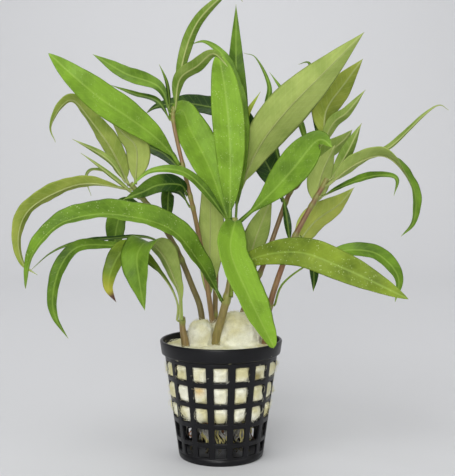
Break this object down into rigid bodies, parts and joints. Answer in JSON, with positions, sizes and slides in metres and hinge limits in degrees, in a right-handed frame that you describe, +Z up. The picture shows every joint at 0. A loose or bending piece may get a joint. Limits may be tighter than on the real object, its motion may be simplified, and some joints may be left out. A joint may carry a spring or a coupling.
{
  "type": "potted aquarium plant",
  "caption": "Bushy stem plant with long lance-shaped leaves, rooted in mineral wool in a small black lattice-walled net pot.",
  "frame": {"origin": "centre of the pot's underside", "axes": "+Z up along the pot's axis, -Y towards the side that the picture shows, +X to its right"},
  "size_m": [0.1959, 0.0972, 0.2138],
  "materials": {
    "pot": "moulded black plastic with a soft sheen",
    "wool": "matt fibrous cream mineral wool",
    "roots": "fine tan roots",
    "stem": "smooth olive to red brown stem skin",
    "leaf": "glossy green above, paler and duller below"
  },
  "bodies": {
    "root": {"pot": "pot", "stem_tall": "stem", "stem_left": "stem", "stem_centre": "stem", "stem_back": "stem", "stem_rear_right": "stem", "stem_right": "stem", "stem_short": "stem", "leaf_tall_1": "leaf", "leaf_tall_2": "leaf", "leaf_tall_3": "leaf", "leaf_tall_4": "leaf", "leaf_tall_5": "leaf", "leaf_tall_6": "leaf", "leaf_tall_7": "leaf", "leaf_tall_8": "leaf", "leaf_tall_9": "leaf", "leaf_left_1": "leaf", "leaf_left_2": "leaf", "leaf_left_3": "leaf", "leaf_left_4": "leaf", "leaf_left_5": "leaf", "leaf_left_6": "leaf", "leaf_left_7": "leaf", "leaf_left_8": "leaf", "leaf_left_9": "leaf", "leaf_centre_1": "leaf", "leaf_centre_2": "leaf", "leaf_centre_3": "leaf", "leaf_centre_4": "leaf", "leaf_centre_5": "leaf", "leaf_centre_6": "leaf", "leaf_centre_7": "leaf", "leaf_centre_8": "leaf", "leaf_back_1": "leaf", "leaf_back_2": "leaf", "leaf_back_3": "leaf", "leaf_back_4": "leaf", "leaf_back_5": "leaf", "leaf_rear_right_1": "leaf", "leaf_rear_right_2": "leaf", "leaf_rear_right_3": "leaf", "leaf_rear_right_4": "leaf", "leaf_rear_right_5": "leaf", "leaf_rear_right_6": "leaf", "leaf_rear_right_7": "leaf", "leaf_rear_right_8": "leaf", "leaf_right_1": "leaf", "leaf_right_2": "leaf", "leaf_right_3": "leaf", "leaf_right_4": "leaf", "leaf_right_5": "leaf", "leaf_right_6": "leaf", "leaf_right_7": "leaf", "leaf_right_8": "leaf", "leaf_right_9": "leaf", "leaf_short_1": "leaf", "leaf_short_2": "leaf", "wool": "wool", "roots": "roots"}
  },
  "joints": []
}
